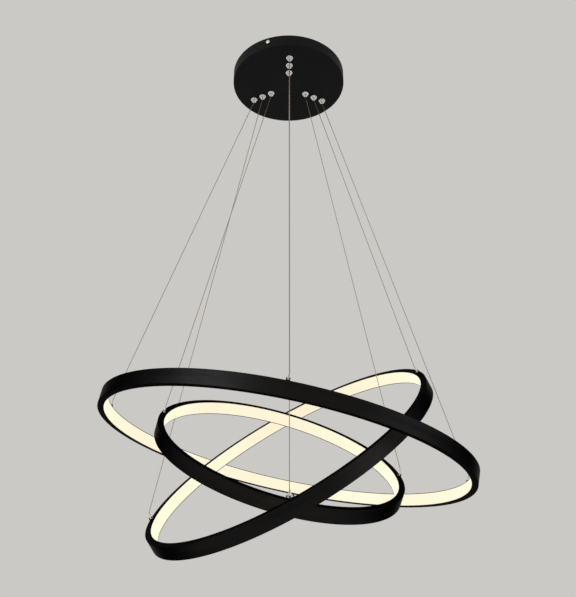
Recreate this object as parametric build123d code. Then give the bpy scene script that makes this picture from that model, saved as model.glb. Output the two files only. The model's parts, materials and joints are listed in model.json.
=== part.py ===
"""Three-ring LED chandelier: a ceiling canopy, nine suspension wires and three inward-lit rings.

Millimetres. The origin is on the ceiling plane at the canopy's axis, +Z is up, and -Y is the front.
Everything hangs below z = 0. Each ring has its own frame: e1 points right along the ring, e2 points
to the back and n is the ring's own upward normal.
"""

import os
from math import cos, degrees, pi, radians, sin

from build123d import *

# ---- canopy -------------------------------------------------------------------------------------
CANOPY_DIAMETER = 220.0
CANOPY_DEPTH = 25.0
CANOPY_SHEET = 1.2
CANOPY_EDGE_RADIUS = 2.0
SIDE_SCREW_AZIMUTHS = (-112.0, 68.0)
SIDE_SCREW_DEPTH = 11.0
SIDE_SCREW_DIAMETER = 4.0
SIDE_SCREW_HEAD_DIAMETER = 7.5
SIDE_SCREW_HEAD_HEIGHT = 3.0
SIDE_SCREW_LENGTH = 8.0
SCREW_HOLE_PLAY = 0.3

# ---- screw heads: the slot's width and depth and the rounding are shares of the head's size -------
HEAD_SLOT_WIDTH_SHARE = 0.14
HEAD_SLOT_DEPTH_SHARE = 0.4
HEAD_ROUNDING_SHARE = 0.45
SMALL_HEAD_DIAMETER_SHARE = 1.9
SMALL_HEAD_HEIGHT = 1.8

# ---- ceiling plate ------------------------------------------------------------------------------
PLATE_DIAMETER = 150.0
PLATE_SHEET = 1.5
EAR_WIDTH = 22.0
EAR_DROP = 18.0
EAR_GAP = 1.0
MOUNT_SLOT_SPACING = 76.0
MOUNT_SLOT_LENGTH = 14.0
MOUNT_SLOT_WIDTH = 5.0
CABLE_HOLE_DIAMETER = 22.0

# ---- wire grippers ------------------------------------------------------------------------------
GRIPPER_EDGE_DISTANCE = 30.0
GRIPPER_PITCH = 20.0
GRIPPER_AZIMUTHS = {"front": -90.0, "left": 150.0, "right": 30.0}
GRIPPER_THREAD_DIAMETER = 8.0
GRIPPER_ABOVE_FLOOR = 12.0
COLLAR_DIAMETER = 13.0
COLLAR_HEIGHT = 4.0
COLLAR_EDGE_RADIUS = 0.8
NUT_ACROSS_FLATS = 13.0
NUT_HEIGHT = 3.0
SLEEVE_DIAMETER = 6.0
SLEEVE_BORE = 2.4
SLEEVE_HEAD_DIAMETER = 8.5
SLEEVE_HEAD_HEIGHT = 1.5
SLEEVE_EDGE_RADIUS = 0.5
SLEEVE_BELOW_COLLAR = 4.0
SLEEVE_ABOVE_FLOOR = 0.6
SLEEVE_PLAY = 0.05
SLEEVE_TRAVEL = 2.0
SLEEVE_STOP_GAP = 0.2
CONE_HEIGHT = 4.6
CONE_STEP = 0.45
CAP_THICKNESS = 1.6
SPRING_WIRE = 0.5
SPRING_MEAN_DIAMETER = 4.4
SPRING_TURNS = 4
GRIP_BALL_COUNT = 3
GRIP_BALL_DIAMETER = 2.0
GRIP_BALL_PLAY = 0.02
GRIP_BALL_ABOVE_CONE_FOOT = 2.0

# ---- suspension wires ---------------------------------------------------------------------------
WIRE_DIAMETER = 1.2
WIRE_BEND_RADIUS = 6.0
WIRE_STRAIGHT_BELOW_SLEEVE = 1.6
WIRE_STRAIGHT_ABOVE_FERRULE = 3.4

# ---- ring profile -------------------------------------------------------------------------------
PROFILE_HEIGHT = 22.0
PROFILE_DEPTH = 10.0
PROFILE_OUTER_WALL = 1.4
PROFILE_FLANGE = 1.0
PROFILE_EDGE_RADIUS = 0.5
SEAM_AZIMUTH = 90.0
SEAM_GAP = 0.3
DIFFUSER_THICKNESS = 1.6
DIFFUSER_PROUD = 0.8
DIFFUSER_PLAY = 0.1
DIFFUSER_EDGE_RADIUS = 0.6
STRIP_WIDTH = 12.0
STRIP_THICKNESS = 1.0
STRIP_GAP_AT_SEAM = 46.0
LED_PITCH = 26.0
LED_LENGTH = 3.5
LED_WIDTH = 2.8
LED_HEIGHT = 0.8
BOND_GAP = 0.02
SPLICE_LENGTH = 40.0
SPLICE_HEIGHT = 15.0
SPLICE_THICKNESS = 3.0
SPLICE_SCREW_DIAMETER = 3.0
SPLICE_SCREW_HEAD_DIAMETER = 5.6
SPLICE_SCREW_HEAD_DEPTH = 1.3
SPLICE_SCREW_SUNK = 0.05
SPLICE_SCREW_SPACING = 22.0
DRIVE_HOLE_DIAMETER = 1.8
DRIVE_HOLE_DEPTH = 1.4

# ---- wire anchors on the rings ------------------------------------------------------------------
SIDES = ("front", "left", "right")
SIDE_ANCHOR_AZIMUTH = 4.0
SOCKET_BASE = 1.0
SOCKET_WIDTH = 5.4
CHEEK_THICKNESS = 1.2
CHEEK_WALL = 1.1
SOCKET_STUD_DIAMETER = 3.0
SOCKET_STUD_LENGTH = 3.5
BARREL_DIAMETER = 2.6
BARREL_LENGTH = 5.4
BARREL_PLAY = 0.05
BARREL_ABOVE_BASE = 1.7
CRIMP_DIAMETER = 2.2
CRIMP_LENGTH = 7.0

# ---- driver and terminals in the canopy ---------------------------------------------------------
DRIVER_LENGTH = 96.0
DRIVER_WIDTH = 34.0
DRIVER_HEIGHT = 15.0
DRIVER_WALL = 1.2
DRIVER_CORNER_RADIUS = 2.0
DRIVER_AZIMUTH = 210.0
DRIVER_EDGE_DISTANCE = 13.0
DRIVER_TAB = 8.0
DRIVER_SCREW_DIAMETER = 3.0
LID_LIP_WIDTH = 1.5
BOARD_THICKNESS = 1.6
BOARD_PLAY = 0.6
# The parts on the board: length, width and height of each block, and where it stands along the
# board from its middle.
TRANSFORMER_SIZE = (18.0, 16.0, 8.5)
TRANSFORMER_CORE_SIZE = (8.0, 20.0, 6.5)
TRANSFORMER_PLACE = -11.0
HEAT_SINK_SIZE = (4.0, 18.0, 7.5)
HEAT_SINK_PLACE = 32.0
CAPACITOR_DIAMETER = 8.8
CAPACITOR_LENGTH = 16.0
CAPACITOR_SUNK = 0.2
CAPACITOR_PLACE = 16.0
CHOKE_DIAMETER = 9.0
CHOKE_HEIGHT = 7.0
CHOKE_PLACE = -32.0
TERMINAL_WAYS = 3
TERMINAL_PITCH = 10.0
TERMINAL_DEPTH = 18.0
TERMINAL_HEIGHT = 12.0
TERMINAL_END_LENGTH = 8.0
TERMINAL_END_WIDTH = 10.0
TERMINAL_END_HEIGHT = 6.0
TERMINAL_BORE = 3.6
TERMINAL_SCREW_DIAMETER = 2.8
TERMINAL_SCREW_OFFSET = 5.4
TERMINAL_SCREW_SUNK = 0.6
TERMINAL_SCREW_SLOT_WIDTH = 0.5
TERMINAL_SCREW_SLOT_DEPTH = 0.7
TERMINAL_AZIMUTH = -30.0
TERMINAL_EDGE_DISTANCE = 17.0
EARTH_AZIMUTH = 90.0
EARTH_EDGE_DISTANCE = 17.0
EARTH_SCREW_DIAMETER = 4.0
EARTH_WASHER_DIAMETER = 9.4
EARTH_WASHER_HEIGHT = 1.0

# ---- the three rings ----------------------------------------------------------------------------
# SUSPENSION_DROP is from the ceiling down to the middle of the rings, and a ring's offset is from
# there to its own centre. diameter is the outer one. lean_back and lean_left lift the back and the
# left edge, in degrees: the ring is first turned about X by lean_back and then about its own Y by
# lean_left. gripper_row counts from 0, the outermost gripper of each group on the canopy.
# front_azimuth is where its front wire's anchor stands on it.
SUSPENSION_DROP = 780.0
RINGS = {
    "large": {"diameter": 600.0, "offset": (-5.0, -1.0, 11.0), "lean_back": 2.4,
              "lean_left": 11.8, "gripper_row": 0, "front_azimuth": -91.2},
    "medium": {"diameter": 500.0, "offset": (-1.0, 6.0, 1.0), "lean_back": 31.5,
               "lean_left": -29.8, "gripper_row": 1, "front_azimuth": -88.1},
    "small": {"diameter": 400.0, "offset": (-13.0, -1.0, 0.0), "lean_back": 35.7,
              "lean_left": 15.2, "gripper_row": 2, "front_azimuth": -88.7},
}

# ---- worked out from the values above -----------------------------------------------------------
CANOPY_RADIUS = CANOPY_DIAMETER / 2
PLATE_RADIUS = PLATE_DIAMETER / 2
FLOOR_BOTTOM = -CANOPY_DEPTH
FLOOR_TOP = FLOOR_BOTTOM + CANOPY_SHEET
EAR_RADIUS = CANOPY_RADIUS - CANOPY_SHEET - EAR_GAP
COLLAR_BOTTOM = FLOOR_BOTTOM - COLLAR_HEIGHT
GRIPPER_TOP = FLOOR_TOP + GRIPPER_ABOVE_FLOOR
SLEEVE_BOTTOM = COLLAR_BOTTOM - SLEEVE_BELOW_COLLAR
SLEEVE_TOP = FLOOR_BOTTOM + SLEEVE_ABOVE_FLOOR
CONE_BOTTOM = SLEEVE_TOP + SLEEVE_TRAVEL + SLEEVE_STOP_GAP
BALL_Z = CONE_BOTTOM + GRIP_BALL_ABOVE_CONE_FOOT
BALL_RING_RADIUS = WIRE_DIAMETER / 2 + GRIP_BALL_DIAMETER / 2 + GRIP_BALL_PLAY
PIVOT_ABOVE_PROFILE = SOCKET_BASE + BARREL_ABOVE_BASE
WIRE_BEND_Z = SLEEVE_BOTTOM - WIRE_STRAIGHT_BELOW_SLEEVE
WIRE_TOP_Z = GRIPPER_TOP - CAP_THICKNESS / 2


def polar(radius, azimuth, z=0.0):
    """A point at a radius and an azimuth in degrees about Z."""
    return Vector(radius * cos(radians(azimuth)), radius * sin(radians(azimuth)), z)


def upright(radius, azimuth, z=0.0):
    """A frame at polar(radius, azimuth, z) whose X points outwards and whose Z is up."""
    return Plane(origin=polar(radius, azimuth, z), x_dir=polar(1, azimuth), z_dir=(0, 0, 1)).location


def outward(radius, azimuth, z=0.0):
    """A frame at polar(radius, azimuth, z) whose Z points outwards and whose Y is up."""
    side = polar(1, azimuth + 90)
    return Plane(origin=polar(radius, azimuth, z), x_dir=side, z_dir=polar(1, azimuth)).location


def rod(radius, low, high):
    """A cylinder on Z from z = low to z = high."""
    return Pos(0, 0, (low + high) / 2) * Cylinder(radius, high - low)


def brick(x, y, low, high):
    """A block centred on Z from z = low to z = high."""
    return Pos(0, 0, (low + high) / 2) * Box(x, y, high - low)


def turned(points, arc=360.0, start=0.0):
    """The solid that a closed (radius, z) outline sweeps about Z, from the azimuth start on."""
    outline = Plane.XZ * Polyline(*points, close=True)
    solid = revolve(make_face(outline), axis=Axis.Z, revolution_arc=arc)
    return Rot(0, 0, start) * solid


def rims(solid, radius):
    """The full circles about Z of one radius among a solid's edges."""
    circles = solid.edges().filter_by(GeomType.CIRCLE)
    return [e for e in circles if abs(e.radius - radius) < 0.01 and e.length > radius]


def pan_head_screw(diameter, length, head_diameter, head_height):
    """A screw along Z, its head above z = 0 and its shank below, with a slot across the head."""
    screw = rod(diameter / 2, -length, 0) + rod(head_diameter / 2, 0, head_height)
    top = screw.edges().group_by(Axis.Z)[-1]
    screw = fillet(top, head_height * HEAD_ROUNDING_SHARE)
    slot_width = head_diameter * HEAD_SLOT_WIDTH_SHARE
    slot_floor = head_height * (1 - HEAD_SLOT_DEPTH_SHARE)
    return screw - brick(head_diameter, slot_width, slot_floor, 2 * head_height)


def small_screw(diameter, length):
    """A pan head screw with the head that the small screws in the canopy share."""
    return pan_head_screw(diameter, length, diameter * SMALL_HEAD_DIAMETER_SHARE, SMALL_HEAD_HEIGHT)


def gripper_circle(ring):
    """The radius of the circle of grippers that a ring hangs from."""
    return CANOPY_RADIUS - GRIPPER_EDGE_DISTANCE - RINGS[ring]["gripper_row"] * GRIPPER_PITCH


def solids_of(shapes):
    """One compound of separate solids."""
    return Compound(children=[s for shape in shapes for s in shape.solids()])


def write(name, shape):
    """Writes one node's STEP file, each of its solids apart from the others."""
    solids = list(shape.solids())
    whole = solids[0] if len(solids) == 1 else Compound(children=solids)
    whole.label = name
    export_step(whole, f"parts/{name}.step")


# ---- canopy pieces ------------------------------------------------------------------------------
def gripper_places():
    """{(ring name, side): frame on the underside of the canopy}."""
    return {
        (ring, side): upright(gripper_circle(ring), azimuth)
        for ring in RINGS
        for side, azimuth in GRIPPER_AZIMUTHS.items()
    }


def canopy_shell():
    """The round pan: side wall and floor in one sheet, with holes for grippers and side screws."""
    shell = rod(CANOPY_RADIUS, FLOOR_BOTTOM, 0)
    shell = fillet(shell.edges().group_by(Axis.Z)[0], CANOPY_EDGE_RADIUS)
    shell -= rod(CANOPY_RADIUS - CANOPY_SHEET, FLOOR_TOP, 1)
    hole = rod(GRIPPER_THREAD_DIAMETER / 2, FLOOR_BOTTOM - 1, FLOOR_TOP + 1)
    for place in gripper_places().values():
        shell -= place * hole
    screw_hole = rod(SIDE_SCREW_DIAMETER / 2 + SCREW_HOLE_PLAY, -2 * CANOPY_SHEET, CANOPY_SHEET)
    for azimuth in SIDE_SCREW_AZIMUTHS:
        shell -= outward(CANOPY_RADIUS, azimuth, -SIDE_SCREW_DEPTH) * screw_hole
    return shell


def ceiling_plate():
    """The stamped plate that is screwed to the ceiling, with two ears that the canopy hangs on."""
    plate = rod(PLATE_RADIUS, -PLATE_SHEET, 0)
    for azimuth in SIDE_SCREW_AZIMUTHS:
        arm = Pos(EAR_RADIUS / 2, 0, -PLATE_SHEET / 2) * Box(EAR_RADIUS, EAR_WIDTH, PLATE_SHEET)
        ear = Pos(EAR_RADIUS - PLATE_SHEET / 2, 0, -EAR_DROP / 2) * Box(
            PLATE_SHEET, EAR_WIDTH, EAR_DROP
        )
        plate += upright(0, azimuth) * (arm + ear)
    plate -= rod(CABLE_HOLE_DIAMETER / 2, -2 * PLATE_SHEET, 1)
    for side in (-1, 1):
        slot = Pos(side * MOUNT_SLOT_SPACING / 2, 0, -PLATE_SHEET) * extrude(
            SlotOverall(MOUNT_SLOT_LENGTH, MOUNT_SLOT_WIDTH), 2 * PLATE_SHEET
        )
        plate -= slot
    thread = rod(SIDE_SCREW_DIAMETER / 2, -3 * PLATE_SHEET, PLATE_SHEET)
    for azimuth in SIDE_SCREW_AZIMUTHS:
        plate -= outward(EAR_RADIUS, azimuth, -SIDE_SCREW_DEPTH) * thread
    for place in driver_tab_places() + terminal_tab_places():
        plate -= place * rod(DRIVER_SCREW_DIAMETER / 2, -PLATE_SHEET - 1, 1)
    plate -= earth_place() * rod(EARTH_SCREW_DIAMETER / 2, -PLATE_SHEET - 1, 1)
    return plate


def canopy_side_screws():
    """Bright screws through the canopy's wall into the plate's ears."""
    screws = []
    for azimuth in SIDE_SCREW_AZIMUTHS:
        place = outward(CANOPY_RADIUS + SCREW_HOLE_PLAY / 10, azimuth, -SIDE_SCREW_DEPTH)
        screw = pan_head_screw(
            SIDE_SCREW_DIAMETER, SIDE_SCREW_LENGTH, SIDE_SCREW_HEAD_DIAMETER, SIDE_SCREW_HEAD_HEIGHT
        )
        screws.append(place * screw)
    return solids_of(screws)


def driver_frame():
    """The driver's frame on the ceiling plane: X along its length, Y outwards from the axis."""
    return upright(PLATE_RADIUS - DRIVER_EDGE_DISTANCE, DRIVER_AZIMUTH) * Rot(0, 0, -90)


def driver_tab_places():
    """Where the driver's two end tabs are screwed to the plate."""
    reach = DRIVER_LENGTH / 2 - DRIVER_TAB / 2
    inward = -DRIVER_WIDTH / 2 + DRIVER_TAB / 2
    return [driver_frame() * Pos(side * reach, inward, 0) for side in (-1, 1)]


def driver_case():
    """The driver's tray, open towards the floor, with solid corner blocks for its two screws."""
    top, bottom = -PLATE_SHEET, -PLATE_SHEET - DRIVER_HEIGHT
    case = brick(DRIVER_LENGTH, DRIVER_WIDTH, bottom, top)
    case = fillet(case.edges().filter_by(Axis.Z), DRIVER_CORNER_RADIUS)
    inner_length = DRIVER_LENGTH - 2 * DRIVER_TAB
    case -= brick(inner_length, DRIVER_WIDTH - 2 * DRIVER_WALL, bottom - 1, top - DRIVER_WALL)
    case = driver_frame() * case
    shank = rod(DRIVER_SCREW_DIAMETER / 2, bottom - 1, 1)
    for place in driver_tab_places():
        case -= place * shank
    return case


def driver_lid():
    """The driver's lower cover, a plate with a lip that fits inside the tray."""
    bottom = -PLATE_SHEET - DRIVER_HEIGHT
    lid = brick(DRIVER_LENGTH, DRIVER_WIDTH, bottom - DRIVER_WALL, bottom)
    lid = fillet(lid.edges().filter_by(Axis.Z), DRIVER_CORNER_RADIUS)
    length, width = board_size()
    lip = brick(length, width, bottom, bottom + DRIVER_WALL)
    lip -= brick(length - 2 * LID_LIP_WIDTH, width - 2 * LID_LIP_WIDTH, bottom, 0)
    lid = driver_frame() * (lid + lip)
    for place in driver_tab_places():
        lid -= place * rod(DRIVER_SCREW_DIAMETER / 2, 2 * bottom, 0)
    return lid


def board_size():
    """The length and width that fit inside the driver's tray."""
    length = DRIVER_LENGTH - 2 * DRIVER_TAB - 2 * BOARD_PLAY
    width = DRIVER_WIDTH - 2 * DRIVER_WALL - 2 * BOARD_PLAY
    return length, width


def driver_board():
    """The driver's circuit board, bonded under the tray's roof, with its parts hanging from it."""
    roof = -PLATE_SHEET - DRIVER_WALL - BOND_GAP
    under = roof - BOARD_THICKNESS
    length, width = board_size()
    board = brick(length, width, under, roof)
    for place, size in (
        (TRANSFORMER_PLACE, TRANSFORMER_SIZE),
        (TRANSFORMER_PLACE, TRANSFORMER_CORE_SIZE),
        (HEAT_SINK_PLACE, HEAT_SINK_SIZE),
    ):
        board += Pos(place, 0, 0) * brick(size[0], size[1], under - size[2], under)
    board += Pos(CHOKE_PLACE, 0, 0) * rod(CHOKE_DIAMETER / 2, under - CHOKE_HEIGHT, under)
    radius = CAPACITOR_DIAMETER / 2
    can = Rot(0, 90, 0) * Cylinder(radius, CAPACITOR_LENGTH)
    board += Pos(CAPACITOR_PLACE, 0, under + CAPACITOR_SUNK - radius) * can
    return driver_frame() * board


def driver_screws():
    """Two screws that hold the driver and its lid under the ceiling plate."""
    low = -PLATE_SHEET - DRIVER_HEIGHT - DRIVER_WALL
    screw = Rot(180, 0, 0) * small_screw(DRIVER_SCREW_DIAMETER, -low)
    return solids_of([p * Pos(0, 0, low) * screw for p in driver_tab_places()])


def terminal_frame():
    """The terminal block's frame on the ceiling plane, X along its row of ways."""
    return upright(PLATE_RADIUS - TERMINAL_EDGE_DISTANCE, TERMINAL_AZIMUTH) * Rot(0, 0, 90)


def terminal_tab_places():
    """Where the terminal block's two ends are screwed to the plate."""
    reach = (TERMINAL_WAYS * TERMINAL_PITCH + TERMINAL_END_LENGTH) / 2
    return [terminal_frame() * Pos(side * reach, 0, 0) for side in (-1, 1)]


def terminal_way_places():
    """The middle of each way of the terminal block."""
    first = -(TERMINAL_WAYS - 1) / 2
    return [terminal_frame() * Pos((first + k) * TERMINAL_PITCH, 0, 0) for k in range(TERMINAL_WAYS)]


def terminal_block():
    """A mains terminal block: a moulded bar with a wire bore and two screw wells in each way."""
    top, bottom = -PLATE_SHEET, -PLATE_SHEET - TERMINAL_HEIGHT
    ways = TERMINAL_WAYS * TERMINAL_PITCH
    ends = brick(ways + 2 * TERMINAL_END_LENGTH, TERMINAL_END_WIDTH, top - TERMINAL_END_HEIGHT, top)
    block = terminal_frame() * (ends + brick(ways, TERMINAL_DEPTH, bottom, top))
    bore = Pos(0, 0, (top + bottom) / 2) * Rot(90, 0, 0) * Cylinder(
        TERMINAL_BORE / 2, TERMINAL_DEPTH + 2
    )
    well = rod(TERMINAL_SCREW_DIAMETER / 2, bottom - 1, (top + bottom) / 2)
    for place in terminal_way_places():
        block -= place * bore
        for side in (-1, 1):
            block -= place * Pos(0, side * TERMINAL_SCREW_OFFSET, 0) * well
    for place in terminal_tab_places():
        block -= place * rod(DRIVER_SCREW_DIAMETER / 2, bottom - 1, top + 1)
    return block


def terminal_screws():
    """The clamping screws in the block's wells, two in each way, their tips just in the bore."""
    low = -PLATE_SHEET - TERMINAL_HEIGHT + TERMINAL_SCREW_SUNK
    high = -PLATE_SHEET - TERMINAL_HEIGHT / 2 - TERMINAL_BORE / 2 + TERMINAL_SCREW_SUNK
    screw = rod(TERMINAL_SCREW_DIAMETER / 2, low, high)
    slot_roof = low + TERMINAL_SCREW_SLOT_DEPTH
    screw -= brick(2 * TERMINAL_SCREW_DIAMETER, TERMINAL_SCREW_SLOT_WIDTH, low - 1, slot_roof)
    return solids_of(
        place * Pos(0, side * TERMINAL_SCREW_OFFSET, 0) * screw
        for place in terminal_way_places()
        for side in (-1, 1)
    )


def terminal_block_screws():
    """Two screws that hold the terminal block under the ceiling plate."""
    low = -PLATE_SHEET - TERMINAL_END_HEIGHT
    screw = Rot(180, 0, 0) * small_screw(DRIVER_SCREW_DIAMETER, -low)
    return solids_of([p * Pos(0, 0, low) * screw for p in terminal_tab_places()])


def earth_place():
    """The earth screw's frame on the ceiling plane."""
    return upright(PLATE_RADIUS - EARTH_EDGE_DISTANCE, EARTH_AZIMUTH)


def earth_screw():
    """The earth screw with its captive washer under the ceiling plate."""
    low = -PLATE_SHEET - EARTH_WASHER_HEIGHT
    screw = Pos(0, 0, low) * Rot(180, 0, 0) * small_screw(EARTH_SCREW_DIAMETER, -low)
    washer = rod(EARTH_WASHER_DIAMETER / 2, low, -PLATE_SHEET)
    return earth_place() * (screw + washer)


# ---- grippers -----------------------------------------------------------------------------------
def gripper_body():
    """One gripper body on Z: a collar under the canopy, a threaded shank, and its stepped bore."""
    thread, collar = GRIPPER_THREAD_DIAMETER / 2, COLLAR_DIAMETER / 2
    body = rod(thread, FLOOR_BOTTOM, GRIPPER_TOP) + rod(collar, COLLAR_BOTTOM, FLOOR_BOTTOM)
    body = fillet(body.edges().group_by(Axis.Z)[0], COLLAR_EDGE_RADIUS)
    guide = SLEEVE_DIAMETER / 2 + SLEEVE_PLAY
    chamber_top = GRIPPER_TOP - CAP_THICKNESS
    neck = guide - CONE_STEP
    bore = turned([
        (0, COLLAR_BOTTOM - 1), (guide, COLLAR_BOTTOM - 1), (guide, CONE_BOTTOM), (neck, CONE_BOTTOM),
        (guide, CONE_BOTTOM + CONE_HEIGHT), (guide, chamber_top), (WIRE_DIAMETER, chamber_top),
        (WIRE_DIAMETER, GRIPPER_TOP + 1), (0, GRIPPER_TOP + 1),
    ])
    return body - bore


def gripper_nut():
    """The hexagon nut that clamps one gripper to the canopy's floor."""
    flats = extrude(RegularPolygon(NUT_ACROSS_FLATS / 2, 6, major_radius=False), NUT_HEIGHT)
    nut = Pos(0, 0, FLOOR_TOP) * flats
    return nut - rod(GRIPPER_THREAD_DIAMETER / 2, FLOOR_TOP - 1, FLOOR_TOP + NUT_HEIGHT + 1)


def grip_balls():
    """The balls that bite on one wire."""
    ball = Sphere(GRIP_BALL_DIAMETER / 2)
    step = 360 / GRIP_BALL_COUNT
    return solids_of(
        Pos(*polar(BALL_RING_RADIUS, step * k, BALL_Z)) * ball for k in range(GRIP_BALL_COUNT)
    )


def gripper_spring():
    """The coil spring above one gripper's balls."""
    low = BALL_Z + GRIP_BALL_DIAMETER / 2 + SPRING_WIRE
    high = GRIPPER_TOP - CAP_THICKNESS - SPRING_WIRE
    path = Helix((high - low) / SPRING_TURNS, high - low, SPRING_MEAN_DIAMETER / 2)
    start = Plane(origin=path @ 0, z_dir=path % 0)
    coil = sweep(start * Circle(SPRING_WIRE / 2), path=path, is_frenet=True)
    return Pos(0, 0, low) * coil


def release_sleeve():
    """The sleeve under one gripper. Pressed up, it lifts the balls and frees the wire."""
    sleeve = rod(SLEEVE_DIAMETER / 2, SLEEVE_BOTTOM, SLEEVE_TOP)
    sleeve += rod(SLEEVE_HEAD_DIAMETER / 2, SLEEVE_BOTTOM, SLEEVE_BOTTOM + SLEEVE_HEAD_HEIGHT)
    sleeve = fillet(sleeve.edges().group_by(Axis.Z)[0], SLEEVE_EDGE_RADIUS)
    return sleeve - rod(SLEEVE_BORE / 2, SLEEVE_BOTTOM - 1, SLEEVE_TOP + 1)


# ---- ring pieces, each in its ring's own frame ----------------------------------------------------
def ring_frame(ring):
    """The ring's frame: origin at its centre, X to the right along it and Z along its normal."""
    values = RINGS[ring]
    back, left = radians(values["lean_back"]), radians(values["lean_left"])
    right = (cos(left), sin(back) * sin(left), -cos(back) * sin(left))
    normal = (sin(left), -sin(back) * cos(left), cos(back) * cos(left))
    centre = Vector(0, 0, -SUSPENSION_DROP) + Vector(values["offset"])
    return Plane(origin=centre, x_dir=right, z_dir=normal).location


def anchor_radius(ring):
    return RINGS[ring]["diameter"] / 2 - PROFILE_DEPTH / 2


def anchor_place(ring, side):
    """A wire anchor's frame on the ring's top face, turned as the ring's own frame is."""
    azimuths = {
        "front": RINGS[ring]["front_azimuth"],
        "left": 180.0 - SIDE_ANCHOR_AZIMUTH,
        "right": SIDE_ANCHOR_AZIMUTH,
    }
    return Pos(*polar(anchor_radius(ring), azimuths[side], PROFILE_HEIGHT / 2))


def ring_profile(ring):
    """The rolled channel, open inwards, with its seam, stud holes and splice screw holes."""
    outer, half = RINGS[ring]["diameter"] / 2, PROFILE_HEIGHT / 2
    inner, web = outer - PROFILE_DEPTH, outer - PROFILE_OUTER_WALL
    lip = half - PROFILE_FLANGE
    profile = turned([
        (inner, -half), (outer, -half), (outer, half), (inner, half),
        (inner, lip), (web, lip), (web, -lip), (inner, -lip),
    ])
    profile = fillet(rims(profile, outer), PROFILE_EDGE_RADIUS)
    seam = Pos(inner + PROFILE_DEPTH / 2, 0, 0) * Box(2 * PROFILE_DEPTH, SEAM_GAP, 2 * PROFILE_HEIGHT)
    profile -= Rot(0, 0, SEAM_AZIMUTH) * seam
    stud = rod(SOCKET_STUD_DIAMETER / 2, -SOCKET_STUD_LENGTH, 1)
    for side in SIDES:
        profile -= anchor_place(ring, side) * stud
    for place in splice_screw_places(ring):
        profile -= place * splice_screw()
    return profile


def diffuser(ring):
    """The opal strip in the mouth of the channel, standing a little proud of it."""
    outer = RINGS[ring]["diameter"] / 2
    half = PROFILE_HEIGHT / 2 - PROFILE_FLANGE - DIFFUSER_PLAY
    inner = outer - PROFILE_DEPTH - DIFFUSER_PROUD
    strip = turned([
        (inner, -half), (inner + DIFFUSER_THICKNESS, -half),
        (inner + DIFFUSER_THICKNESS, half), (inner, half),
    ])
    return fillet(rims(strip, inner), DIFFUSER_EDGE_RADIUS)


def led_strip(ring):
    """The light strip: a flexible board on the channel's web with a row of LEDs facing inwards."""
    web = RINGS[ring]["diameter"] / 2 - PROFILE_OUTER_WALL - BOND_GAP
    face = web - STRIP_THICKNESS
    gap = degrees(STRIP_GAP_AT_SEAM / web)
    half = STRIP_WIDTH / 2
    board = turned(
        [(face, -half), (web, -half), (web, half), (face, half)], 360 - gap, SEAM_AZIMUTH + gap / 2
    )
    count = int((360 - gap) * pi / 180 * face / LED_PITCH)
    led = Pos(face - LED_HEIGHT / 2 - BOND_GAP, 0, 0) * Box(LED_HEIGHT, LED_LENGTH, LED_WIDTH)
    step = (360 - gap) / count
    start = SEAM_AZIMUTH + gap / 2 + step / 2
    return solids_of([board] + [Rot(0, 0, start + k * step) * led for k in range(count)])


def splice_screw_places(ring):
    """The two splice screws' frames on the outer face, one each side of the seam."""
    outer = RINGS[ring]["diameter"] / 2
    turn = degrees(SPLICE_SCREW_SPACING / 2 / outer)
    return [outward(outer, SEAM_AZIMUTH + side * turn) for side in (-1, 1)]


def splice_screw():
    """A countersunk screw along Z, its flat head just under z = 0."""
    head, shank = SPLICE_SCREW_HEAD_DIAMETER / 2, SPLICE_SCREW_DIAMETER / 2
    length = PROFILE_OUTER_WALL + SPLICE_THICKNESS
    top, foot = -SPLICE_SCREW_SUNK, -SPLICE_SCREW_HEAD_DEPTH
    return turned([(0, -length), (shank, -length), (shank, foot), (head, top), (0, top)])


def splice_screws(ring):
    screw = splice_screw() - rod(DRIVE_HOLE_DIAMETER / 2, -DRIVE_HOLE_DEPTH, 1)
    return solids_of([p * screw for p in splice_screw_places(ring)])


def splice_plate(ring):
    """The curved plate inside the channel that joins the profile's two ends."""
    web = RINGS[ring]["diameter"] / 2 - PROFILE_OUTER_WALL
    arc = degrees(SPLICE_LENGTH / web)
    half = SPLICE_HEIGHT / 2
    face = web - SPLICE_THICKNESS
    plate = turned(
        [(face, -half), (web, -half), (web, half), (face, half)], arc, SEAM_AZIMUTH - arc / 2
    )
    for place in splice_screw_places(ring):
        plate -= place * splice_screw()
    return plate


def socket():
    """One anchor socket: a base with a stud below and two cheeks that hold the ferrule's barrel."""
    across = BARREL_LENGTH + 2 * BARREL_PLAY
    bore = BARREL_DIAMETER / 2 + BARREL_PLAY
    outer = bore + CHEEK_WALL
    base = brick(across, SOCKET_WIDTH, 0, SOCKET_BASE)
    cheek = Rot(0, 90, 0) * Cylinder(outer, across) + Pos(0, 0, -PIVOT_ABOVE_PROFILE / 2) * Box(
        across, 2 * outer, PIVOT_ABOVE_PROFILE
    )
    block = base + Pos(0, 0, PIVOT_ABOVE_PROFILE) * cheek
    gap = brick(across - 2 * CHEEK_THICKNESS, 4 * outer, SOCKET_BASE, 4 * outer)
    block -= gap
    block -= Pos(0, 0, PIVOT_ABOVE_PROFILE) * Rot(0, 90, 0) * Cylinder(bore, 2 * across)
    block &= brick(across, 4 * outer, 0, 4 * outer)
    return block + rod(SOCKET_STUD_DIAMETER / 2, -SOCKET_STUD_LENGTH, 0)


def anchor_sockets(ring):
    return solids_of([anchor_place(ring, side) * socket() for side in SIDES])


def pivot_point(ring, side):
    """The middle of a ferrule's barrel, in the whole object's frame."""
    return (ring_frame(ring) * anchor_place(ring, side) * Pos(0, 0, PIVOT_ABOVE_PROFILE)).position


def ring_right(ring):
    """The direction that points right along the ring, which every ferrule's barrel lies on."""
    return Plane(ring_frame(ring)).x_dir


def bend_point(ring, side):
    """Where a wire turns from its gripper's axis towards its ring."""
    return polar(gripper_circle(ring), GRIPPER_AZIMUTHS[side], WIRE_BEND_Z)


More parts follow.
